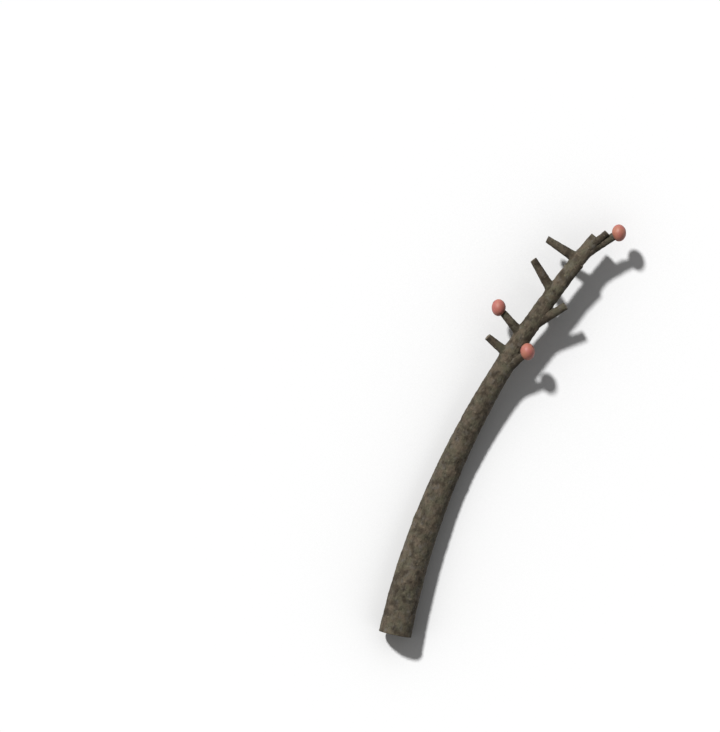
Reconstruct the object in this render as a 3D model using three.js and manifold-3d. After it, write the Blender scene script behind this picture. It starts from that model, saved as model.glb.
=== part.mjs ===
// A fallen tree branch, lying on the ground. Millimetres, +Z up.
//
// The main stem is one tapered, curved piece. Its thick cut end (the butt) and its lower third
// lie flat on the ground; the thin end rises and is propped clear of it by a short stub
// underneath. Side twigs fork from the thin half, and three of them end in an oval fruit.
//
// +Y runs from the butt to the tip, the stem bows towards -X, and the origin is the middle of
// the bounding box's base.

import * as THREE from "three";
import { mergeVertices } from "three/addons/utils/BufferGeometryUtils.js";
import Module from "manifold-3d";

const wasm = await Module();
wasm.setup();

// ---------------------------------------------------------------- driving dimensions

const STEM_CHORD = 445; // straight line from the butt's centre to the tip's centre
const STEM_BOW = 27.6; // how far the middle of the stem bows sideways from that line
const BOW_SKEW = 0.2; // above 0, the bend sits nearer the butt
const BUTT_RADIUS = 16.5;
const TIP_RADIUS = 6.2;
const THIN_END_LIFT = 24; // how far the thin end's underside stands above the ground
const LIFT_FROM = 0.33; // stem stations, 0 at the butt and 1 at the tip: the rise starts here
const LIFT_TO = 0.9; // and levels out here

const TWIG_ROOT_RADIUS = 5.1; // on the stem's centre line
const TWIG_END_RADIUS = 3.2;

const FRUIT_SHORT_RADIUS = 6.9; // the fruits are ovals, a little flattened across this radius
const FRUIT_LONG_RADIUS = 8.3;
const FRUIT_TURN = THREE.MathUtils.degToRad(26.8); // the flattened sides' turn about +Z
const FRUIT_SINK = 3; // how deep a twig's end sits in its fruit

const SEAM = 0.35; // gap between touching pieces

const STEM_SIDES = 20;
const STEM_RINGS = 40;
const TWIG_SIDES = 12;
const FRUIT_SIDES = 20;

// Each twig leaves the stem's centre line at station `at`. `fork` is its angle away from the
// stem's forward direction, in degrees, and `roll` turns it round the stem: 0 is the left
// (-X) side, 90 is up, 180 is right and 270 is down. `reach` is its length from the centre
// line, to its cut end or, where it bears a fruit, to the fruit's centre. `root` and `end` are
// its radii there, where they aren't the usual ones.
const TWIGS = [
  { name: "first_left_twig", at: 0.678, fork: 81, roll: 12, reach: 30.3 },
  { name: "second_left_twig", at: 0.73, fork: 73, roll: 8, reach: 37.8, fruit: "left_fruit" },
  { name: "third_left_twig", at: 0.848, fork: 67.5, roll: 10, reach: 39.2 },
  { name: "fourth_left_twig", at: 0.94, fork: 95, roll: 0, reach: 37.5 },
  { name: "first_right_twig", at: 0.615, fork: 24, roll: 134, reach: 46.5, fruit: "right_fruit" },
  { name: "second_right_twig", at: 0.748, fork: 25, roll: 162, reach: 45.8, root: 4.3, end: 3.75 },
  { name: "pressed_spur", at: 0.84, fork: 8.5, roll: 147, reach: 43 },
  {
    name: "tip_fork_with_fruit",
    at: 0.945,
    fork: 20,
    roll: 163,
    reach: 46.4,
    root: 4.3,
    end: 3.6,
    fruit: "tip_fruit",
  },
  { name: "tip_fork_stub", at: 0.945, fork: 15, roll: 124, reach: 37.7, root: 3.5, end: 2.7 },
  { name: "prop_stub", at: 0.8, fork: 78, roll: 262, reach: 50, standsOnGround: true },
];

const BARK = new THREE.MeshStandardMaterial({ color: 0x5b5447, roughness: 0.92, metalness: 0 });
const FRUIT_SKIN = new THREE.MeshStandardMaterial({ color: 0xb87265, roughness: 0.45, metalness: 0 });

// ---------------------------------------------------------------- the stem's centre line

const stemRadius = (t) => THREE.MathUtils.lerp(BUTT_RADIUS, TIP_RADIUS, t);

// The stem has a flat side underneath, this share of its radius below the centre line.
const FLAT_SIDE = Math.cos(Math.PI / STEM_SIDES);

class StemLine extends THREE.Curve {
  getPoint(t, target = new THREE.Vector3()) {
    const bow = STEM_BOW * 4 * t * (1 - t) * (1 + BOW_SKEW * (0.5 - t));
    const lift = THIN_END_LIFT * THREE.MathUtils.smoothstep(t, LIFT_FROM, LIFT_TO);
    return target.set(-bow, STEM_CHORD * (t - 0.5), stemRadius(t) * FLAT_SIDE + lift);
  }
}
const stemLine = new StemLine();
stemLine.arcLengthDivisions = 400;

// The stem's forward, left and up directions at station t.
function stemFrame(t) {
  const step = 1e-3;
  const forward = stemLine.getPoint(t + step).sub(stemLine.getPoint(t - step)).normalize();
  const left = new THREE.Vector3(-forward.y, forward.x, 0).normalize();
  return { forward, left, up: new THREE.Vector3().crossVectors(forward, left) };
}

// ---------------------------------------------------------------- solids

// A closed geometry as a solid that can be joined and cut.
function solidOf(geometry) {
  const shell = geometry.clone();
  shell.deleteAttribute("normal");
  shell.deleteAttribute("uv");
  const merged = mergeVertices(shell, 1e-4);
  return new wasm.Manifold(
    new wasm.Mesh({
      numProp: 3,
      vertProperties: new Float32Array(merged.attributes.position.array),
      triVerts: new Uint32Array(merged.index.array),
    }),
  );
}

function geometryOf(solid) {
  const { vertProperties, triVerts } = solid.getMesh();
  const geometry = new THREE.BufferGeometry();
  geometry.setAttribute("position", new THREE.BufferAttribute(vertProperties, 3));
  geometry.setIndex(new THREE.BufferAttribute(triVerts, 1));
  geometry.computeVertexNormals();
  return geometry;
}

// The stem: a tapered cylinder bent along the centre line. Its rings stand upright, so that
// the flat side underneath is level. `grow` makes it fatter and longer, for cutting others.
function stemGeometry(grow = 0) {
  const geometry = new THREE.CylinderGeometry(
    TIP_RADIUS + grow,
    BUTT_RADIUS + grow,
    1,
    STEM_SIDES,
    STEM_RINGS,
    false,
    Math.PI / STEM_SIDES, // puts a flat side, not an edge, underneath
  );
  const position = geometry.attributes.position;
  const centre = new THREE.Vector3();
  for (let i = 0; i < position.count; i++) {
    const t = 0.5 + position.getY(i) * (1 + (2 * grow) / STEM_CHORD);
    const { left } = stemFrame(t);
    stemLine.getPoint(t, centre).addScaledVector(left, -position.getX(i));
    position.setXYZ(i, centre.x, centre.y, centre.z + position.getZ(i));
  }
  return geometry;
}

function twigDirection({ at, fork, roll }) {
  const { forward, left, up } = stemFrame(at);
  const forkAngle = THREE.MathUtils.degToRad(fork);
  const rollAngle = THREE.MathUtils.degToRad(roll);
  return forward
    .multiplyScalar(Math.cos(forkAngle))
    .addScaledVector(left, Math.sin(forkAngle) * Math.cos(rollAngle))
    .addScaledVector(up, Math.sin(forkAngle) * Math.sin(rollAngle));
}

// A twig as a plain tapered rod, from the stem's centre line to its end.
function twigRod(twig, grow = 0) {
  const { root: rootRadius = TWIG_ROOT_RADIUS, end: endRadius = TWIG_END_RADIUS } = twig;
  const length = (twig.fruit ? twig.reach - FRUIT_SHORT_RADIUS + FRUIT_SINK : twig.reach) + grow;
  const rod = new THREE.CylinderGeometry(endRadius + grow, rootRadius + grow, length, TWIG_SIDES);
  const alongTwig = new THREE.Quaternion().setFromUnitVectors(
    new THREE.Vector3(0, 1, 0),
    twigDirection(twig),
  );
  rod.translate(0, length / 2, 0).applyQuaternion(alongTwig);
  const start = stemLine.getPoint(twig.at);
  return solidOf(rod.translate(start.x, start.y, start.z));
}

function fruitCentre(twig) {
  return stemLine.getPoint(twig.at).addScaledVector(twigDirection(twig), twig.reach);
}

function fruitOval(twig) {
  const oval = new THREE.SphereGeometry(1, FRUIT_SIDES, FRUIT_SIDES / 2 + 2);
  oval.scale(FRUIT_SHORT_RADIUS, FRUIT_LONG_RADIUS, FRUIT_LONG_RADIUS).rotateZ(FRUIT_TURN);
  const centre = fruitCentre(twig);
  return solidOf(oval.translate(centre.x, centre.y, centre.z));
}

function groundSlab() {
  const depth = 100;
  return solidOf(
    new THREE.BoxGeometry(STEM_CHORD, 2 * STEM_CHORD, depth).translate(0, 0, -depth / 2),
  );
}

// ---------------------------------------------------------------- the branch

const branch = new THREE.Group();
branch.name = "branch";

function addPiece(name, solid, material) {
  const piece = new THREE.Mesh(geometryOf(solid), material);
  piece.name = name;
  branch.add(piece);
}

addPiece("main_stem", solidOf(stemGeometry()), BARK);

// Each twig is cut back to the stem's surface, and to any twig made before it.
let inTheWay = solidOf(stemGeometry(SEAM));
for (const twig of TWIGS) {
  let solid = twigRod(twig).subtract(inTheWay);
  if (twig.standsOnGround) solid = solid.subtract(groundSlab());
  addPiece(twig.name, solid, BARK);
  inTheWay = inTheWay.add(twigRod(twig, SEAM));
  if (twig.fruit) addPiece(twig.fruit, fruitOval(twig).subtract(twigRod(twig, SEAM)), FRUIT_SKIN);
}

// The origin is the middle of the bounding box's base.
const box = new THREE.Box3().setFromObject(branch, true);
const middle = box.getCenter(new THREE.Vector3());
branch.position.set(-middle.x, -middle.y, -box.min.z);

export default branch;
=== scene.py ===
# The looks of a fallen tree branch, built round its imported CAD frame. Metres, +Z up.
#
# Every limb's centre line and radius is measured on its CAD node. The limb is then made again
# as a fine mesh: bark with real relief, swollen collars at the forks, and cut or broken ends
# that show the wood. The fruits are made again from their nodes' boxes.

import functools
import math

import bpy
import numpy as np
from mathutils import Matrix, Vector, noise


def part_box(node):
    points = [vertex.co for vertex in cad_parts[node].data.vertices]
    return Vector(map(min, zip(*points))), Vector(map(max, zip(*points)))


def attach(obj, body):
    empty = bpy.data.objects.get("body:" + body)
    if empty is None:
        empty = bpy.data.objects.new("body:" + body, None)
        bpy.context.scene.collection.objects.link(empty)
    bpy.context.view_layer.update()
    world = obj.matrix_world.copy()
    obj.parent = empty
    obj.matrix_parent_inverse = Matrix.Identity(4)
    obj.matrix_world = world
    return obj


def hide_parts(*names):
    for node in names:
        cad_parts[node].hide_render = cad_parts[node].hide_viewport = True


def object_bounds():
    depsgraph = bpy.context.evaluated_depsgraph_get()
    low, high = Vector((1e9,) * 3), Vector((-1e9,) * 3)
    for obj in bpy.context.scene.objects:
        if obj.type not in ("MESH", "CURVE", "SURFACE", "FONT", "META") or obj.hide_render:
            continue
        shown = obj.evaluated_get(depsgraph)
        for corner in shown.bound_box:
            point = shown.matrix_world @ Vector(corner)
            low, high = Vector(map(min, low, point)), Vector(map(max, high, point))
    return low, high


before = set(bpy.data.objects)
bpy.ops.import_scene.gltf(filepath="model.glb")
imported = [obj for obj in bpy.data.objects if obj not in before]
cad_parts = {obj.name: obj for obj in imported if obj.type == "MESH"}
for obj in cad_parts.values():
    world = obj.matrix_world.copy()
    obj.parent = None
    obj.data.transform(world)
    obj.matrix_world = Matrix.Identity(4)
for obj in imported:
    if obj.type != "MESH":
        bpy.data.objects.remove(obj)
cad_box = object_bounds()

MM = 0.001
FULL_TURN = 2 * math.pi
UP = np.array([0.0, 0.0, 1.0])

# Each fruit, and the twig that bears it.
FRUIT_BEARERS = {
    "left_fruit": "second_left_twig",
    "right_fruit": "first_right_twig",
    "tip_fruit": "tip_fork_with_fruit",
}
TWIGS = sorted(set(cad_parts) - set(FRUIT_BEARERS) - {"main_stem"})

# ---------------------------------------------------------------- the picture and its light

PICTURE_TURN = math.radians(26.8)  # the picture's up direction, turned from +Y towards -X
PICTURE_HEIGHT = 0.732  # what the picture takes in, at the branch
OBJECT_RIGHT_OF_CENTRE = 0.1230  # where the branch's middle lies in the picture
OBJECT_BELOW_CENTRE = 0.0543
CAMERA_HEIGHT = 12.0  # far off, so that the view is almost parallel
VIEW_LIMIT = 100.0  # the camera sees this far

KEY_STRENGTH = 4.5
KEY_SOFTNESS = math.radians(5.5)
KEY_ELEVATION = math.radians(46.5)
SHADOW_TURN = math.radians(56)  # how far below the picture's right the shadows point
AMBIENT = 0.22

FLOOR_HALF_WIDTH = 6.0
FLOOR_DROP = 0.1 * MM  # the floor lies this far under the branch, so that the two don't touch
FLOOR_WHITE = 0.8
PAINTED_HALO_WHITE = 0.64  # painted shade: the floor's colour close to the branch, darkened where the branch hides much of the light
# how far out from the branch the painted shade reaches
PAINTED_HALO_REACH = 0.3

# ---------------------------------------------------------------- the limbs' dimensions

# The columns round a limb, how far apart its rows are, and how thick its bark is.
STEM_MESH = {"columns": 120, "step": 0.64 * MM, "bark": 1.3 * MM}
TWIG_MESH = {"columns": 48, "step": 0.4 * MM, "bark": 0.7 * MM}

STEM_FULLNESS = 0.2 * MM  # how far the bark stands out of the plain round wood, on average
TWIG_FULLNESS = 0.4 * MM
COLLAR_HEIGHT = 0.6 * MM  # the stem swells this much round each fork
COLLAR_WIDTH = 2.2 * MM
FLARE_HEIGHT = 0.45 * MM  # and each twig this much at its root
FLARE_WIDTH = 1.6 * MM
ROOT_COVER = 1.2 * MM  # a twig's mesh begins where the stem covers it this deep

BUTT_LEAN = math.radians(4)  # a cut's top reaches out past its foot by this angle
BUTT_TRIM = 1.3 * MM  # and the whole butt is cut back by this
TIP_LEAN = math.radians(2)
TIP_REACH = 1.5 * MM  # how far the broken tip stands past the CAD's flat one
TWIG_CUT_TILT = 0.05  # how far a twig's cut is tilted at random, as a slope
CUT_MARGIN = 1.5 * MM  # the bark this near a leaning cut leans as much as the cut
LEAN_REACH = 5 * MM  # and beyond that the lean dies away over this length
STANDING_HEIGHT = 1 * MM  # a twig whose end is lower than this stands on the ground

# Healed scars of shed twigs: distance from the butt, angle round the stem from its left side
# by way of its top, and radius.
STEM_SCARS = [
    (52 * MM, math.radians(205), 4.2 * MM),
    (118 * MM, math.radians(15), 3.6 * MM),
    (171 * MM, math.radians(160), 3.4 * MM),
    (226 * MM, math.radians(335), 3.2 * MM),
    (262 * MM, math.radians(55), 2.6 * MM),
]
# Drying checks across the stem's cut ends: angle round the stem, depth, and where each begins
# and ends as shares of the radius. Each twig has one, at an angle that its number sets.
STEM_CHECKS = [
    (0.6, 1.1 * MM, 0.0, 0.8),
    (2.75, 0.8 * MM, 0.05, 0.5),
    (4.5, 1.0 * MM, 0.3, 0.95),
]
TWIG_CHECK = (0.5 * MM, 0.1, 0.8)
TWIG_CHECK_TURN = 1.7

# ---------------------------------------------------------------- relief

ROUGH_BARK_RADIUS = 9 * MM  # limbs thinner than this have smoother bark
SMOOTHEST_BARK = 0.5  # and the thinnest keep this share of its relief
SWELLING_SIZE = 24 * MM
SWELLING_HEIGHT = 0.3 * MM
LUMP_SIZE = 4.5 * MM
LUMP_HEIGHT = 0.35 * MM
WRINKLE_SIZE = 2.4 * MM
WRINKLE_DEPTH = 0.45 * MM
WRINKLE_SQUEEZE = 0.3  # the limb counts as this much shorter, so wrinkles are long along it
GRAIN_SHIFT = 0.37  # sets each piece's noise apart from the next one's

LENTICEL_SPACE = 90 * MM * MM  # the bark has one lenticel for each area of this size
LENTICEL_WIDTH = (0.9 * MM, 2.0 * MM)  # the least and the most
LENTICEL_LENGTH = (0.6 * MM, 0.8 * MM)
LENTICEL_RISE = (0.2 * MM, 0.36 * MM)
LENTICEL_PALENESS = (0.5, 1)

# A scar, as shares of its radius.
SCAR_RING = 0.75
SCAR_RING_WIDTH = 0.3
SCAR_RING_HEIGHT = 0.16
SCAR_HOLLOW_WIDTH = 0.45
SCAR_HOLLOW_DEPTH = 0.12
SCAR_SHADE_WIDTH = 0.5
SCAR_SHADE = 0.8  # how dark its middle is
SCAR_SQUEEZE = 0.8  # draws it out along the limb

RING_SPACING = 1.25 * MM  # growth rings across a cut end
RING_HEIGHT = 0.05 * MM
RING_WOBBLE = 0.5  # how far a ring strays, as a share of the spacing
WOBBLE_SIZE = 5 * MM
CUT_ROUGHNESS = 0.1 * MM
PITH_RADIUS = 0.9 * MM
PITH_DEPTH = 0.35 * MM
CHECK_BEND = 0.12  # how far a check strays, as an angle
CHECK_START_TAPER = 0.1  # over how much of the radius a check opens, and then closes
CHECK_END_TAPER = 0.2
CHECK_NARROWEST = 0.12 * MM  # half its width at its ends
CHECK_WIDENING = 0.3 * MM  # and what its middle adds to that

# Across the rounded rim of a cut end: how far behind the cut and how far in from the bark's
# face each row lies, as shares of the bark's thickness.
RIM = [(0.35, 0.02), (0.1, 0.12), (0, 0.3), (0, 0.8)]
GROOVE_INSET = 0.98  # a groove parts the bark from the wood, which begins just inside it
GROOVE_DEPTH = 0.3 * MM
WOOD_INSET = 1.2
WOOD_EDGE_DROP = 0.08 * MM
WOOD_DROP = 0.05 * MM  # the rest of the wood lies this far behind the cut
WOOD_FIRST_STEP = 0.5 * MM  # from the wood's edge to its first row, and then between rows
WOOD_STEP = 0.45 * MM
WOOD_MIDDLE = 0.3 * MM  # no row is nearer the limb's centre line than this

SHARP_EDGE = math.radians(55)  # edges sharper than this aren't shaded smooth

# ---------------------------------------------------------------- the fruits' dimensions

FRUIT_COLUMNS = 96
FRUIT_ROWS = 56
FRUIT_FULLNESS = 0.3 * MM
FRUIT_UNEVENNESS = 0.12 * MM
FRUIT_LUMP_SIZE = 0.9  # this and the widths below are angles, seen from the fruit's middle
DIMPLE_WIDTH = 0.5
DIMPLE_DEPTH = 0.9 * MM
EYE_WIDTH = 0.15
EYE_DEPTH = 0.45 * MM
EYE_RIM = 0.2
EYE_RIM_WIDTH = 0.07
EYE_RIM_HEIGHT = 0.22 * MM

# ---------------------------------------------------------------- colours, as sRGB

BARK_BROWN = (85, 75, 62)
BARK_OLIVE = (79, 75, 60)
BARK_GREY = (86, 81, 74)
BARK_DARK = (54, 46, 35)
BARK_PORE = (112, 102, 86)
WOOD_EARLY = (150, 130, 102)
WOOD_LATE = (112, 90, 66)
WOOD_HEART = (96, 76, 56)
WOOD_GREY = (118, 110, 98)
WOOD_PITH = (62, 44, 30)
# painted shade for the deep hollows of a cut end
CHECK_PAINTED_SHADE = (44, 34, 26)
FRUIT_RED = (159, 91, 83)
FRUIT_ORANGE = (158, 100, 81)
FRUIT_DOT = (190, 132, 114)
FRUIT_STALK_END = (120, 86, 62)
FRUIT_EYE = (78, 52, 40)

# ---------------------------------------------------------------- directions and falloffs


def unit(vector):
    return vector / np.linalg.norm(vector)


def across(forward):
    """The level direction to the left of each forward direction, and the one above it."""
    left = np.cross(UP, forward)
    left /= np.linalg.norm(left, axis=-1, keepdims=True)
    return left, np.cross(forward, left)


def angles_round(columns, rows):
    """Even angles round a circle, the same for every row."""
    return np.tile(np.arange(columns) * FULL_TURN / columns, rows)


def turn_between(angle, other):
    """The shorter way round from one angle to another, left or right."""
    return (angle - other + math.pi) % FULL_TURN - math.pi


def hump(distance, width):
    """1 in the middle, falling smoothly to almost 0 at twice the width."""
    return np.exp(-((distance / width) ** 2))


# ---------------------------------------------------------------- measuring the frame

ALIKE = 0.9  # the least cosine between directions that count as the same
ON_PLANE = 0.01 * MM  # corners this near a plane lie on it
ON_CIRCLE = 0.7  # corners nearer the middle than this share of the radius aren't on the circle
STEM_SLICE = 4 * MM  # how far apart the stem is sliced
STEM_SPACING = 1 * MM  # how far apart the points of its centre line are
TWIG_SPACING = 0.25 * MM
LONGEST_TWIG = 70 * MM
END_CLEARANCE = 0.6 * MM  # a twig's end is judged by its corners this far outside the stem


def corners_of(node):
    return np.array([vertex.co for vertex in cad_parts[node].data.vertices])


def section(node, point, normal):
    """The points where the node's edges cross a plane."""
    corners = corners_of(node)
    first, second = np.array([edge.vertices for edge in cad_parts[node].data.edges]).T
    height = (corners - point) @ normal
    crossing = height[first] * height[second] < 0
    first, second = first[crossing], second[crossing]
    share = height[first] / (height[first] - height[second])
    return corners[first] + share[:, None] * (corners[second] - corners[first])


def flat_end(node, facing=None):
    """The node's end face: of the planes that it lies behind, the one with the most corners.

    Returns those corners and the plane's outward normal.
    """
    corners = corners_of(node)
    most, outward = [], None
    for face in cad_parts[node].data.polygons:
        normal = np.array(face.normal)
        if facing is not None and normal @ facing < ALIKE:
            continue
        height = (corners - np.array(face.center)) @ normal
        if height.max() < ON_PLANE:
            on_plane = np.unique(corners[height > -ON_PLANE].round(6), axis=0)
            if len(on_plane) > len(most):
                most, outward = on_plane, normal
    return most, outward


def middle_of(points, *directions):
    """The point halfway between the points' extremes along each direction."""
    middle = points.mean(axis=0)
    for direction in directions:
        along = (points - middle) @ direction
        middle = middle + direction * (along.max() + along.min()) / 2
    return middle


def circle_through(points, normal):
    """The centre and radius of the circle that most of the points on a plane lie on."""
    side, other = across(normal)
    origin = points.mean(axis=0)
    x, y = (points - origin) @ side, (points - origin) @ other
    matrix = np.stack([2 * x, 2 * y, np.ones(len(x))], axis=1)
    a, b, c = np.linalg.lstsq(matrix, x * x + y * y, rcond=None)[0]
    centre, radius = origin + a * side + b * other, math.sqrt(c + a * a + b * b)
    near = np.linalg.norm(points - centre, axis=1) > ON_CIRCLE * radius
    return (centre, radius) if near.all() else circle_through(points[near], normal)


class Limb:
    """A tapered round length of wood: points along its centre line and the radius at each."""

    def __init__(self, name, points, radii):
        self.name = name
        self.points = points
        self.radii = radii
        steps = np.linalg.norm(np.diff(points, axis=0), axis=1)
        self.stations = np.concatenate([[0], np.cumsum(steps)])
        self.length = self.stations[-1]

    def at(self, stations):
        """Centre points, forward directions and radii at distances from the limb's start."""
        points = np.stack([np.interp(stations, self.stations, c) for c in self.points.T], axis=1)
        slopes = np.gradient(self.points, self.stations, axis=0)
        forward = np.stack([np.interp(stations, self.stations, c) for c in slopes.T], axis=1)
        forward /= np.linalg.norm(forward, axis=1, keepdims=True)
        return points, forward, np.interp(stations, self.stations, self.radii)

    def distance_to(self, places):
        """How far each place is from the centre line, and the limb's radius beside it."""
        gap = np.linalg.norm(places[:, None] - self.points[None], axis=2)
        nearest = gap.argmin(axis=1)
        return gap[np.arange(len(places)), nearest], self.radii[nearest]


def smoothed(values, reach=2):
    """A moving average that keeps both ends where they are."""
    padded = np.pad(values, ((reach, reach), (0, 0)), mode="reflect", reflect_type="odd")
    window = 2 * reach + 1
    return sum(padded[k : k + len(values)] for k in range(window)) / window


def measure_stem():
    """Walks up the stem from its butt, slicing the CAD node at every step.

    The last step, to the tip, is between a half and one and a half of the others.
    """
    butt, backward = flat_end("main_stem", facing=np.array([0, -1, 0]))
    tip, _ = flat_end("main_stem", facing=np.array([0, 1, 0]))
    tip, heading = tip.mean(axis=0), -backward
    points = [butt.mean(axis=0)]
    radii = [np.linalg.norm(butt - points[0], axis=1).max()]
    while np.linalg.norm(tip - points[-1]) > 1.5 * STEM_SLICE:
        ring = section("main_stem", points[-1] + STEM_SLICE * heading, heading)
        left, up = across(heading)
        centre = middle_of(ring, left, up)
        radii.append(np.linalg.norm(ring - centre, axis=1).mean())
        heading = unit((centre - points[-1]) * [1, 1, 0])
        points.append(centre)
    radii.append(2 * radii[-1] - radii[-2])  # the taper goes on to the tip
    points.append(tip + TIP_REACH * heading)
    sliced = Limb("main_stem", smoothed(np.array(points)), np.array(radii))
    stations = np.arange(BUTT_TRIM, sliced.length + STEM_SPACING / 2, STEM_SPACING)
    points, _, radii = sliced.at(stations)
    return Limb("main_stem", points, radii)


def measure_twig(name, stem):
    """A twig's straight centre line, from inside the stem to its flat end."""
    corners, outward = flat_end(name)
    if outward @ UP < -ALIKE:  # a foot on the ground, cut at a slant
        level = np.eye(3)[:2]
        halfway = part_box(name)[1].z / 2
        ring = section(name, np.array([0, 0, halfway]), UP)
        end = middle_of(corners, *level)
        outward = unit(end - middle_of(ring, *level))
        end_radius = np.linalg.norm(corners - end, axis=1).min()
    else:
        gap, beside = stem.distance_to(corners)
        end, end_radius = circle_through(corners[gap > beside + END_CLEARANCE], outward)
    back = np.arange(0, LONGEST_TWIG, TWIG_SPACING)
    axis = end - back[:, None] * outward
    root = stem.distance_to(axis)[0].argmin()

    # The taper follows from a slice halfway down.
    depth = ((end - corners_of(name)) @ outward).max() / 2
    ring = section(name, end - depth * outward, outward)
    spread = ring - end
    spread -= np.outer(spread @ outward, outward)
    taper = (np.linalg.norm(spread, axis=1).max() - end_radius) / depth
    return Limb(name, axis[root::-1], end_radius + taper * back[root::-1])


# ---------------------------------------------------------------- making relief


def noise_over(places, size, octaves=1):
    """Smooth noise, mostly between -1 and 1, whose lumps have the given size."""
    return np.array([noise.fractal(Vector(place), 1.0, 2.0, octaves) for place in places / size])


def bark_relief(grain):
    """How far the bark stands out of its limb's plain surface, without its marks."""
    wrinkles = noise_over(grain * [1, 1, WRINKLE_SQUEEZE], WRINKLE_SIZE, octaves=2)
    relief = SWELLING_HEIGHT * noise_over(grain, SWELLING_SIZE)
    relief += LUMP_HEIGHT * noise_over(grain, LUMP_SIZE, octaves=3)
    return relief - WRINKLE_DEPTH * np.abs(wrinkles)


def add_lenticels(relief, marks, station, angle, radius, seed):
    """Lens-shaped pores, scattered over the bark. Each lies across the limb."""
    random = np.random.default_rng(seed)
    start, end = station.min(), station.max()
    area = FULL_TURN * radius.mean() * (end - start)
    for _ in range(int(area / LENTICEL_SPACE)):
        along = station - random.uniform(start, end)
        around = turn_between(angle, random.uniform(0, FULL_TURN)) * radius
        width = random.uniform(*LENTICEL_WIDTH)
        length = random.uniform(*LENTICEL_LENGTH)
        lens = hump(along, length) * hump(around, width)
        relief += random.uniform(*LENTICEL_RISE) * lens
        marks += random.uniform(*LENTICEL_PALENESS) * lens


def add_scars(relief, marks, station, angle, radius, scars):
    """Healed scars of shed twigs: a raised ring round a sunken middle."""
    for at, turn, size in scars:
        along = (station - at) / size
        around = turn_between(angle, turn) * radius / size
        distance = np.hypot(along * SCAR_SQUEEZE, around)
        relief += size * SCAR_RING_HEIGHT * hump(distance - SCAR_RING, SCAR_RING_WIDTH)
        relief -= size * SCAR_HOLLOW_DEPTH * hump(distance, SCAR_HOLLOW_WIDTH)
        marks -= SCAR_SHADE * hump(distance, SCAR_SHADE_WIDTH)


def collars(places, twigs):
    """How far the stem swells round the twigs that leave it."""
    swelling = np.zeros(len(places))
    for twig in twigs:
        start, end = twig.points[0], twig.points[-1]
        share = ((places - start) @ (end - start) / twig.length**2).clip(0, 1)
        gap = np.linalg.norm(places - start - share[:, None] * (end - start), axis=1)
        radius = twig.radii[0] + share * (twig.radii[-1] - twig.radii[0])
        beyond = (gap - radius).clip(0, None)
        swelling = np.maximum(swelling, COLLAR_HEIGHT * hump(beyond, COLLAR_WIDTH))
    return swelling


def cut_relief(grain, checks, radius):
    """A weathered cut across the wood: rings stand proud, and drying checks run outwards."""
    distance = np.hypot(grain[:, 0], grain[:, 1])
    angle = np.arctan2(grain[:, 1], grain[:, 0])
    wobble = noise_over(grain, WOBBLE_SIZE, octaves=2)
    rings = np.sin(FULL_TURN * (distance / RING_SPACING + RING_WOBBLE * wobble))
    relief = RING_HEIGHT * rings + CUT_ROUGHNESS * wobble
    relief -= PITH_DEPTH * hump(distance, PITH_RADIUS)
    share = distance / radius
    for turn, depth, inner, outer in checks:
        away = turn_between(angle, turn + CHECK_BEND * wobble) * distance
        open_here = np.clip((share - inner) / CHECK_START_TAPER, 0, 1)
        open_here *= np.clip((outer - share) / CHECK_END_TAPER, 0, 1)
        relief -= depth * open_here * hump(away, CHECK_NARROWEST + CHECK_WIDENING * open_here)
    return relief


# ---------------------------------------------------------------- meshes


def skin(name, points, poles, columns, materials, wood_rows, attributes):
    """A closed mesh over rows of points round an axis, closed by one point at either end.

    Faces between two wood rows have the second material.
    """
    count = len(points) // columns
    vertices = np.concatenate([points, poles])
    here = np.arange(count * columns).reshape(count, columns)
    beside = np.roll(here, -1, axis=1)
    quads = np.stack([here[:-1], beside[:-1], beside[1:], here[1:]], axis=-1).reshape(-1, 4)
    first, last = count * columns, count * columns + 1
    fans = [(first, b, a) for a, b in zip(here[0], beside[0])]
    fans += [(last, a, b) for a, b in zip(here[-1], beside[-1])]
    mesh = bpy.data.meshes.new(name)
    mesh.from_pydata(vertices.tolist(), [], quads.tolist() + fans)
    for material in materials:
        mesh.materials.append(material)
    wood = np.repeat(wood_rows[:-1] & wood_rows[1:], columns)
    ends = np.repeat([wood_rows[0], wood_rows[-1]], columns)
    mesh.polygons.foreach_set("material_index", np.concatenate([wood, ends]).astype(np.int32))
    mesh.polygons.foreach_set("use_smooth", np.ones(len(mesh.polygons), bool))
    for key, (kind, values) in attributes.items():
        layer = mesh.attributes.new(key, kind, "POINT")
        field = "vector" if kind == "FLOAT_VECTOR" else "value"
        layer.data.foreach_set(field, np.asarray(values, np.float32).ravel())
    mesh.set_sharp_from_angle(angle=SHARP_EDGE)
    piece = bpy.data.objects.new(name + "_skin", mesh)
    bpy.context.scene.collection.objects.link(piece)
    return piece


def end_rows(radius, bark):
    """Rows across a cut end, from the bark's rim to the middle.

    Each is how far it lies behind the cut and its share of the limb's radius.
    """
    rim = np.array(RIM) * bark
    groove = [(GROOVE_DEPTH, GROOVE_INSET * bark), (WOOD_EDGE_DROP, WOOD_INSET * bark)]
    first, last = WOOD_INSET * bark + WOOD_FIRST_STEP, radius - WOOD_MIDDLE
    wood = [(WOOD_DROP, inset) for inset in np.arange(first, last, WOOD_STEP)]
    drops, insets = np.concatenate([rim, groove, wood]).T
    return np.stack([drops, 1 - insets / radius], axis=1)


def bark_rows(limb, start, step, bark, cut_start):
    """Rows along the limb: each one's station and its share of the limb's radius."""
    bare = np.arange(start + bark, limb.length - bark, step)
    tail = end_rows(limb.radii[-1], bark) * [-1, 1] + [limb.length, 0]
    head = end_rows(limb.radii[0], bark)[::-1] if cut_start else np.empty((0, 2))
    return np.concatenate([head, np.stack([bare, np.ones(len(bare))], axis=1), tail])


def hold_outline(relief, whole_rows):
    """Gives the rows across a cut end the relief of the bark beside them.

    `relief` is a table with a line for each row. `whole_rows` are those not across an end.
    """
    relief[: whole_rows[0]] = relief[whole_rows[0]]
    relief[whole_rows[-1] + 1 :] = relief[whole_rows[-1]]


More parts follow.
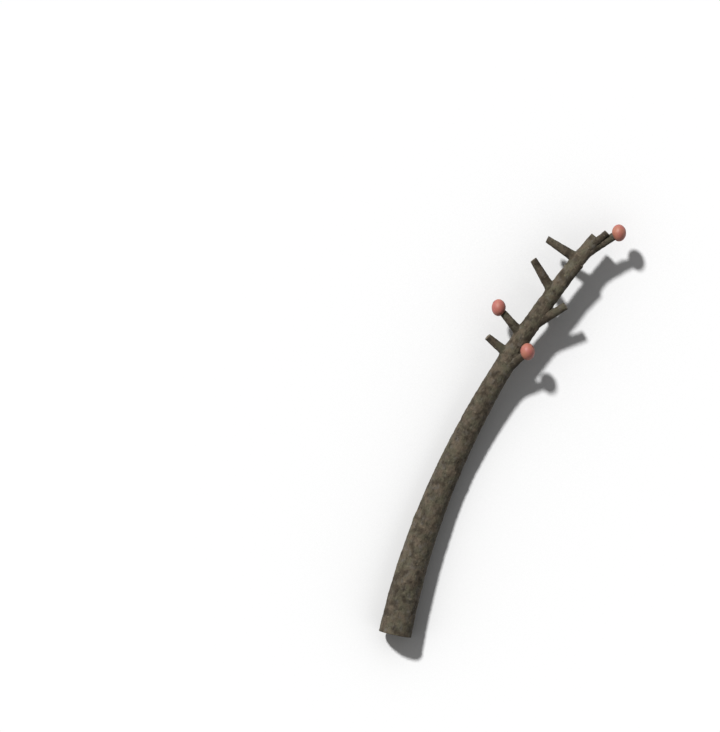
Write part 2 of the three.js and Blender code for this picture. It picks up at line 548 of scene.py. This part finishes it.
def lean_of_cut(away, reach, forward, normal):
    """How far along the limb its points lie, when the plane of its cut leans.

    `away` is how far the points are from the cut, and `reach` is where they are across the limb.
    """
    share = np.exp(-(away - CUT_MARGIN).clip(0, None) / LEAN_REACH)
    return -share * (reach @ normal) / (forward @ normal)


def limb_piece(limb, seed, columns, step, bark, raised, start=0, scars=(), checks=(), cuts=()):
    """One limb of the branch as a fine mesh.

    `start` is where its mesh begins, `raised` adds to its relief, and `cuts` are the outward
    normals of its cut ends, the far one last.
    """
    rows = bark_rows(limb, start, step, bark, cut_start=len(cuts) == 2)
    station, share = np.repeat(rows, columns, axis=0).T
    turn = angles_round(columns, len(rows))
    cos, sin = np.cos(turn), np.sin(turn)
    centre, forward, radius = limb.at(station)
    left, up = across(forward)
    outward = cos[:, None] * left + sin[:, None] * up

    # The bark. `grain` is where a point lies in the wood: across the limb, and along it.
    grain = np.stack([radius * cos, radius * sin, station + GRAIN_SHIFT * seed], axis=1)
    roughness = (radius / ROUGH_BARK_RADIUS).clip(SMOOTHEST_BARK, 1)
    relief, marks = roughness * bark_relief(grain), np.zeros(len(grain))
    add_lenticels(relief, marks, station, turn, radius, seed)
    add_scars(relief, marks, station, turn, radius, scars)
    relief += raised(centre + radius[:, None] * outward)
    hold_outline(relief.reshape(len(rows), columns), (rows[:, 1] == 1).nonzero()[0])
    reach = (share * (radius + relief))[:, None] * outward

    # The wood of a cut end, and the lean of its plane.
    wood = share < 1 - bark / radius
    grain[:, :2] *= share[:, None]
    relief[wood] = cut_relief(grain[wood], checks, radius[wood])
    shift = np.where(wood, relief, 0) * np.where(station > limb.length / 2, 1, -1)
    for end, facing, normal in zip((limb.length, 0), (forward[-1], forward[0]), reversed(cuts)):
        shift += lean_of_cut(np.abs(station - end), reach, facing, normal)
    points = centre + reach + shift[:, None] * forward
    points[:, 2] = points[:, 2].clip(0, None)

    poles = [points[:columns].mean(axis=0), points[-columns:].mean(axis=0)]
    attributes = {
        "grain": ("FLOAT_VECTOR", np.concatenate([grain, grain[[0, -1]]])),
        "relief": ("FLOAT", np.concatenate([relief / MM, [0, 0]])),
        "marks": ("FLOAT", np.concatenate([marks, [0, 0]])),
    }
    wood_rows = wood[::columns]
    return skin(limb.name, points, poles, columns, [BARK, WOOD], wood_rows, attributes)


def hidden_length(twig):
    """How much of a twig's start lies wholly inside the stem."""
    gap, beside = stem.distance_to(twig.points)
    inside = gap + twig.radii < beside - ROOT_COVER
    return twig.stations[inside.nonzero()[0].max()]


def root_flare(places):
    """How far a twig swells where it leaves the stem."""
    gap, beside = stem.distance_to(places)
    above = (gap - beside).clip(0, None)
    return TWIG_FULLNESS + FLARE_HEIGHT * hump(above, FLARE_WIDTH)


def stem_piece(twigs):
    at_butt, at_tip = stem.at([0, stem.length])[1]
    butt_cut = unit(-at_butt - math.tan(BUTT_LEAN) * UP)
    tip_cut = unit(at_tip + math.tan(TIP_LEAN) * UP)
    return limb_piece(
        stem,
        seed=0,
        **STEM_MESH,
        raised=lambda places: STEM_FULLNESS + collars(places, twigs),
        scars=STEM_SCARS,
        checks=STEM_CHECKS,
        cuts=(butt_cut, tip_cut),
    )


def twig_piece(twig, seed):
    forward = twig.at([twig.length])[1][0]
    stands = twig.points[-1][2] < STANDING_HEIGHT
    tilt = np.random.default_rng(seed).normal(0, TWIG_CUT_TILT, 3)
    return limb_piece(
        twig,
        seed=seed,
        **TWIG_MESH,
        raised=root_flare,
        start=hidden_length(twig),
        checks=[(seed * TWIG_CHECK_TURN, *TWIG_CHECK)],
        cuts=(-UP if stands else unit(forward + tilt),),
    )


# ---------------------------------------------------------------- fruits


def fruit_axes(name):
    """A fruit's centre, and its three directions with the radius along each.

    It is an upright ellipse in the picture. Its box's level sides follow from its two level
    radii: half_x^2 = short^2 cos^2 + long^2 sin^2, and half_y^2 has the two changed over.
    """
    low, high = (np.array(corner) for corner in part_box(name))
    half = (high - low) / 2
    cos, sin = math.cos(PICTURE_TURN), math.sin(PICTURE_TURN)
    short_squared = ((half[0] * cos) ** 2 - (half[1] * sin) ** 2) / (cos**2 - sin**2)
    long_squared = ((half[1] * cos) ** 2 - (half[0] * sin) ** 2) / (cos**2 - sin**2)
    directions = np.array([[cos, sin, 0], [-sin, cos, 0], [0, 0, 1]])
    radii = np.array([math.sqrt(short_squared), math.sqrt(long_squared), half[2]])
    return (low + high) / 2, directions, radii


def fruit_relief(from_stalk, outward, seed):
    """How far a fruit stands out of its plain oval: less at its stalk and round its eye."""
    from_eye = math.pi - from_stalk
    relief = FRUIT_FULLNESS + FRUIT_UNEVENNESS * noise_over(outward + seed, FRUIT_LUMP_SIZE, 2)
    relief -= DIMPLE_DEPTH * hump(from_stalk, DIMPLE_WIDTH)
    relief += EYE_RIM_HEIGHT * hump(from_eye - EYE_RIM, EYE_RIM_WIDTH)
    return relief - EYE_DEPTH * hump(from_eye, EYE_WIDTH)


def fruit_piece(name, twig, seed):
    """An oval fruit: dimpled round its stalk, with a small withered eye at the far end."""
    centre, directions, radii = fruit_axes(name)
    stalk = -twig.at([twig.length])[1][0]
    side, other = across(stalk)
    count = FRUIT_ROWS - 1
    from_stalk = np.repeat(np.arange(1, FRUIT_ROWS) * math.pi / FRUIT_ROWS, FRUIT_COLUMNS)
    turn = angles_round(FRUIT_COLUMNS, count)
    ring = np.cos(turn)[:, None] * side + np.sin(turn)[:, None] * other
    outward = np.cos(from_stalk)[:, None] * stalk + np.sin(from_stalk)[:, None] * ring
    outward = np.concatenate([outward, [stalk, -stalk]])
    from_stalk = np.concatenate([from_stalk, [0, math.pi]])
    reach = 1 / np.linalg.norm(outward @ directions.T / radii, axis=1)
    reach += fruit_relief(from_stalk, outward, seed)
    points = centre + reach[:, None] * outward
    attributes = {
        "grain": ("FLOAT_VECTOR", outward * radii.mean() + GRAIN_SHIFT * seed),
        "from_stalk": ("FLOAT", from_stalk),
    }
    no_wood = np.zeros(count, bool)
    return skin(name, points[:-2], points[-2:], FRUIT_COLUMNS, [FRUIT], no_wood, attributes)


# ---------------------------------------------------------------- shader nodes


def add(tree, kind, inputs=None, **settings):
    """A shader node with these settings; an input is a value or the socket that feeds it."""
    made = tree.nodes.new("ShaderNode" + kind)
    for key, value in settings.items():
        setattr(made, key, value)
    for key, value in (inputs or {}).items():
        if isinstance(value, bpy.types.NodeSocket):
            tree.links.new(value, made.inputs[key])
        else:
            made.inputs[key].default_value = value
    return made


def attribute(tree, name, output="Fac"):
    return add(tree, "Attribute", attribute_name=name).outputs[output]


def cloud(tree, place, size, detail=3, rough=0.55, shift=0.0):
    """Noise from 0 to 1 whose patches have about the given size. `shift` gives another one."""
    moved = add(tree, "VectorMath", {0: place, 1: (shift, shift, shift)}, operation="ADD")
    inputs = {"Vector": moved.outputs[0], "Scale": 1 / size, "Detail": detail, "Roughness": rough}
    return add(tree, "TexNoise", inputs).outputs["Fac"]


def dots(tree, place, spacing):
    """The distance to the nearest of scattered dots, as a share of their spacing."""
    inputs = {"Vector": place, "Scale": 1 / spacing}
    return add(tree, "TexVoronoi", inputs).outputs["Distance"]


def span(tree, value, ends, to=(0.0, 1.0), kind="SMOOTHSTEP"):
    """The value, spread from one span to another, and held inside it."""
    inputs = {"Value": value, "From Min": ends[0], "From Max": ends[1]}
    inputs |= {"To Min": to[0], "To Max": to[1]}
    return add(tree, "MapRange", inputs, interpolation_type=kind).outputs[0]


def maths(tree, operation, first, second=0.0):
    return add(tree, "Math", {0: first, 1: second}, operation=operation).outputs[0]


def product(tree, values):
    """All the values, multiplied together."""
    return functools.reduce(lambda first, second: maths(tree, "MULTIPLY", first, second), values)


def stretched(tree, grain, scale):
    """The grain scaled by three factors: two across the limb and one along it."""
    return add(tree, "VectorMath", {0: grain, 1: scale}, operation="MULTIPLY").outputs[0]


def from_axis(tree, grain):
    """The distance from a limb's centre line."""
    flat = stretched(tree, grain, (1, 1, 0))
    return add(tree, "VectorMath", {0: flat}, operation="LENGTH").outputs["Value"]


def ridges(tree, place, size, width, shift):
    """Thin winding lines, 1 on the line and 0 beside it."""
    off_line = maths(tree, "SUBTRACT", cloud(tree, place, size, detail=2, shift=shift), 0.5)
    return span(tree, maths(tree, "ABSOLUTE", off_line), (0, width), to=(1, 0))


def grey_of(tree, level):
    """A grey as light as the level."""
    return add(tree, "CombineColor", {0: level, 1: level, 2: level}).outputs[0]


def linear(colour):
    """An sRGB colour, as 0 to 255, in the linear values that shaders use."""
    parts = [part / 255 for part in colour]
    return [p / 12.92 if p < 0.04045 else ((p + 0.055) / 1.055) ** 2.4 for p in parts] + [1]


def mix(tree, share, first, second, blend="MIX"):
    """Two colours mixed. Colours are sRGB triples or sockets."""
    made = add(tree, "Mix", data_type="RGBA", blend_type=blend)
    sockets = {0: share, 6: first, 7: second}  # by number, since their names aren't their own
    for index, value in sockets.items():
        if isinstance(value, bpy.types.NodeSocket):
            tree.links.new(value, made.inputs[index])
        else:
            made.inputs[index].default_value = linear(value) if index else value
    return made.outputs[2]


def layered(tree, colour, layers):
    """The colour with others laid over it, each where its share says."""
    for share, over in layers:
        colour = mix(tree, share, colour, over)
    return colour


# ---------------------------------------------------------------- materials


def blank_material(name):
    material = bpy.data.materials.new(name)
    material.use_nodes = True
    return material, material.node_tree


def finished(material, colour, roughness, height, depth, specular):
    """The material with its colour and roughness, and a bump as deep as `depth`."""
    tree = material.node_tree
    shader = tree.nodes["Principled BSDF"]
    bump = add(tree, "Bump", {"Height": height, "Distance": depth, "Strength": 1.0})
    tree.links.new(colour, shader.inputs["Base Color"])
    tree.links.new(roughness, shader.inputs["Roughness"])
    tree.links.new(bump.outputs[0], shader.inputs["Normal"])
    shader.inputs["Specular IOR Level"].default_value = specular
    return material


def bark_material():
    """Weathered bark: brown, olive and purplish grey patches, with painted shade in its hollows.
    """
    material, tree = blank_material("weathered_bark")
    grain = attribute(tree, "grain", "Vector")
    relief, marks = attribute(tree, "relief"), attribute(tree, "marks")

    olive = cloud(tree, grain, 9 * MM, detail=4)
    grey = cloud(tree, grain, 6 * MM, detail=4, shift=2.0)
    dark = cloud(tree, grain, 8 * MM, detail=3, rough=0.5, shift=4.0)
    patches = [
        (span(tree, olive, (0.38, 0.62)), BARK_OLIVE),
        (span(tree, grey, (0.5, 0.7), to=(0, 0.9)), BARK_GREY),
        (span(tree, dark, (0.44, 0.68), to=(0, 0.9)), BARK_DARK),
    ]
    colour = layered(tree, BARK_BROWN, patches)

    # The fissures and pits are sunk in the bump, and darkened in the colour too: painted shade.
    lengthwise = stretched(tree, grain, (1, 1, 0.2))
    fissures = ridges(tree, lengthwise, 2.6 * MM, width=0.035, shift=14.0)
    shown = span(tree, cloud(tree, grain, 5 * MM, shift=16.0), (0.45, 0.6))
    fissures = maths(tree, "MULTIPLY", fissures, shown)
    pits = span(tree, dots(tree, grain, 1.5 * MM), (0.12, 0.3), to=(1, 0))
    speckle = cloud(tree, grain, 1.2 * MM, detail=4, rough=0.7, shift=6.0)
    # Painted shade and light: hollows darker and ridges lighter by the relief; fissures and pits
    # darker.
    tone_and_painted_shade = [
        span(tree, relief, (-0.3, 0.4), to=(0.8, 1.1)),
        span(tree, speckle, (0.3, 0.7), to=(0.88, 1.12)),
        span(tree, fissures, (0, 1), to=(1, 0.6)),
        span(tree, pits, (0, 1), to=(1, 0.82)),
        span(tree, from_axis(tree, grain), (4 * MM, 7 * MM), to=(0.8, 1)),
    ]
    colour = mix(tree, 1.0, colour, grey_of(tree, product(tree, tone_and_painted_shade)), "MULTIPLY")
    lenticels = span(tree, marks, (0.3, 0.8), to=(0, 0.55))
    scars = span(tree, marks, (-0.2, -0.8), to=(0, 0.6))
    colour = layered(tree, colour, [(lenticels, BARK_PORE), (scars, BARK_DARK)])

    roughness = span(tree, cloud(tree, grain, 4 * MM, shift=8.0), (0.3, 0.7), to=(0.78, 0.95))
    height = cloud(tree, grain, 1.6 * MM, detail=5, rough=0.62, shift=10.0)
    height = maths(tree, "SUBTRACT", height, maths(tree, "MULTIPLY", fissures, 0.5))
    height = maths(tree, "SUBTRACT", height, maths(tree, "MULTIPLY", pits, 0.25))
    return finished(material, colour, roughness, height, depth=0.6 * MM, specular=0.3)


def wood_material():
    """Weathered wood of a cut end: growth rings, a dark pith, stains, and checks in painted
    shade.
    """
    material, tree = blank_material("cut_wood")
    grain = attribute(tree, "grain", "Vector")
    relief = attribute(tree, "relief")
    distance = from_axis(tree, grain)

    # Each ring is pale at first and darkens outwards. No two are of the same width.
    years = add(tree, "CombineXYZ", {0: distance}).outputs[0]
    uneven = maths(tree, "MULTIPLY", cloud(tree, years, 3 * MM, shift=7.0), 2.5)
    wobble = cloud(tree, grain, 6 * MM, detail=2)
    year = maths(tree, "ADD", maths(tree, "DIVIDE", distance, 1.2 * MM), wobble)
    part_of_year = maths(tree, "FRACT", maths(tree, "ADD", year, uneven))
    early = span(tree, part_of_year, (0.55, 1.0), to=(1, 0))

    weather = cloud(tree, grain, 6 * MM, detail=5, shift=3.0)
    stain = cloud(tree, grain, 3 * MM, detail=5, shift=9.0)
    layers = [
        (early, WOOD_EARLY),
        (span(tree, distance, (2 * MM, 8 * MM), to=(0.6, 0)), WOOD_HEART),
        (span(tree, weather, (0.35, 0.65), to=(0.4, 0.9)), WOOD_GREY),
        (span(tree, stain, (0.52, 0.75), to=(0, 0.6)), WOOD_HEART),
        (span(tree, distance, (1.3 * MM, 0.6 * MM)), WOOD_PITH),
        # Painted shade: the cut's deepest hollows, its checks and the pit at the pith, in near
        # black.
        (span(tree, relief, (-0.12, -0.4)), CHECK_PAINTED_SHADE),
    ]
    colour = layered(tree, WOOD_LATE, layers)
    roughness = span(tree, early, (0, 1), to=(0.75, 0.9))
    height = maths(tree, "ADD", early, cloud(tree, grain, 0.4 * MM, detail=3, shift=5.0))
    return finished(material, colour, roughness, height, depth=0.08 * MM, specular=0.3)


def fruit_material():
    """Smooth pinkish-red skin, browner at the stalk and the eye, with fine pale dots."""
    material, tree = blank_material("fruit_surface")
    grain = attribute(tree, "grain", "Vector")
    from_stalk = attribute(tree, "from_stalk")
    layers = [
        (span(tree, cloud(tree, grain, 8 * MM, detail=2), (0.38, 0.62)), FRUIT_ORANGE),
        (span(tree, dots(tree, grain, 1.4 * MM), (0.2, 0.08), to=(0, 0.35)), FRUIT_DOT),
        (span(tree, from_stalk, (0.75, 0.4), to=(0, 0.7)), FRUIT_STALK_END),
        (span(tree, from_stalk, (2.9, 3.0), to=(0, 0.85)), FRUIT_EYE),
    ]
    colour = layered(tree, FRUIT_RED, layers)
    roughness = span(tree, cloud(tree, grain, 3 * MM, shift=3.0), (0.3, 0.7), to=(0.5, 0.62))
    height = cloud(tree, grain, 0.9 * MM, detail=2, shift=5.0)
    return finished(material, colour, roughness, height, depth=0.03 * MM, specular=0.5)


def floor_material():
    """Plain white, with painted shade: a little darker in a soft halo round whatever stands on
    it.
    """
    material, tree = blank_material("floor")
    shader = tree.nodes["Principled BSDF"]
    # Painted shade: the floor's colour darkens where nearby things hide the sky.
    open_sky = add(tree, "AmbientOcclusion", {"Distance": PAINTED_HALO_REACH}, samples=4).outputs["AO"]
    openness = maths(tree, "POWER", span(tree, open_sky, (0.6, 1.0), kind="LINEAR"), 2.0)
    white = span(tree, openness, (0, 1), to=(PAINTED_HALO_WHITE, FLOOR_WHITE), kind="LINEAR")
    tree.links.new(grey_of(tree, white), shader.inputs["Base Color"])
    shader.inputs["Roughness"].default_value = 0.9
    shader.inputs["Specular IOR Level"].default_value = 0.0
    return material


# ---------------------------------------------------------------- stage


def make_floor():
    """A plain pale floor, just under the branch."""
    side = FLOOR_HALF_WIDTH
    corners = [(-side, -side), (side, -side), (side, side), (-side, side)]
    mesh = bpy.data.meshes.new("floor")
    mesh.from_pydata([(x, y, -FLOOR_DROP) for x, y in corners], [], [(0, 1, 2, 3)])
    mesh.materials.append(floor_material())
    floor = bpy.data.objects.new("floor", mesh)
    bpy.context.scene.collection.objects.link(floor)


def picture_directions():
    """The picture's right and up, as level directions in the frame."""
    cos, sin = math.cos(PICTURE_TURN), math.sin(PICTURE_TURN)
    return Vector((cos, sin, 0)), Vector((-sin, cos, 0))


def make_camera():
    """Looks straight down, turned as the picture is."""
    right, up = picture_directions()
    data = bpy.data.cameras.new("camera")
    data.lens = data.sensor_width * CAMERA_HEIGHT / PICTURE_HEIGHT
    data.clip_end = VIEW_LIMIT
    camera = bpy.data.objects.new("camera", data)
    bpy.context.scene.collection.objects.link(camera)
    middle = (cad_box[0] + cad_box[1]) / 2
    aim = middle - OBJECT_RIGHT_OF_CENTRE * right + OBJECT_BELOW_CENTRE * up
    camera.location = aim + Vector((0, 0, CAMERA_HEIGHT))
    camera.rotation_euler = (0, 0, PICTURE_TURN)
    bpy.context.scene.camera = camera


def make_lights():
    """Soft even light from everywhere, and a key from the picture's upper left."""
    world = bpy.data.worlds.new("world")
    world.use_nodes = True
    background = world.node_tree.nodes["Background"]
    background.inputs["Color"].default_value = (1, 1, 1, 1)
    background.inputs["Strength"].default_value = AMBIENT
    bpy.context.scene.world = world
    right, up = picture_directions()
    level = math.cos(SHADOW_TURN) * right - math.sin(SHADOW_TURN) * up
    travel = math.cos(KEY_ELEVATION) * level - math.sin(KEY_ELEVATION) * Vector(UP)
    data = bpy.data.lights.new("key", "SUN")
    data.energy = KEY_STRENGTH
    data.angle = KEY_SOFTNESS
    key = bpy.data.objects.new("key", data)
    key.rotation_mode = "QUATERNION"
    key.rotation_quaternion = travel.to_track_quat("-Z", "Y")
    bpy.context.scene.collection.objects.link(key)
    bpy.context.scene.view_settings.view_transform = "Standard"


# ---------------------------------------------------------------- the branch

BARK, WOOD, FRUIT = bark_material(), wood_material(), fruit_material()

stem = measure_stem()
twigs = {name: measure_twig(name, stem) for name in TWIGS}
pieces = {"main_stem": stem_piece(twigs.values())}
for seed, (name, twig) in enumerate(twigs.items(), start=1):
    pieces[name] = twig_piece(twig, seed)
for seed, (name, bearer) in enumerate(FRUIT_BEARERS.items(), start=1):
    pieces[name] = fruit_piece(name, twigs[bearer], seed)

for name, piece in pieces.items():
    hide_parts(name)
    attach(piece, "root")

make_floor()
make_camera()
make_lights()
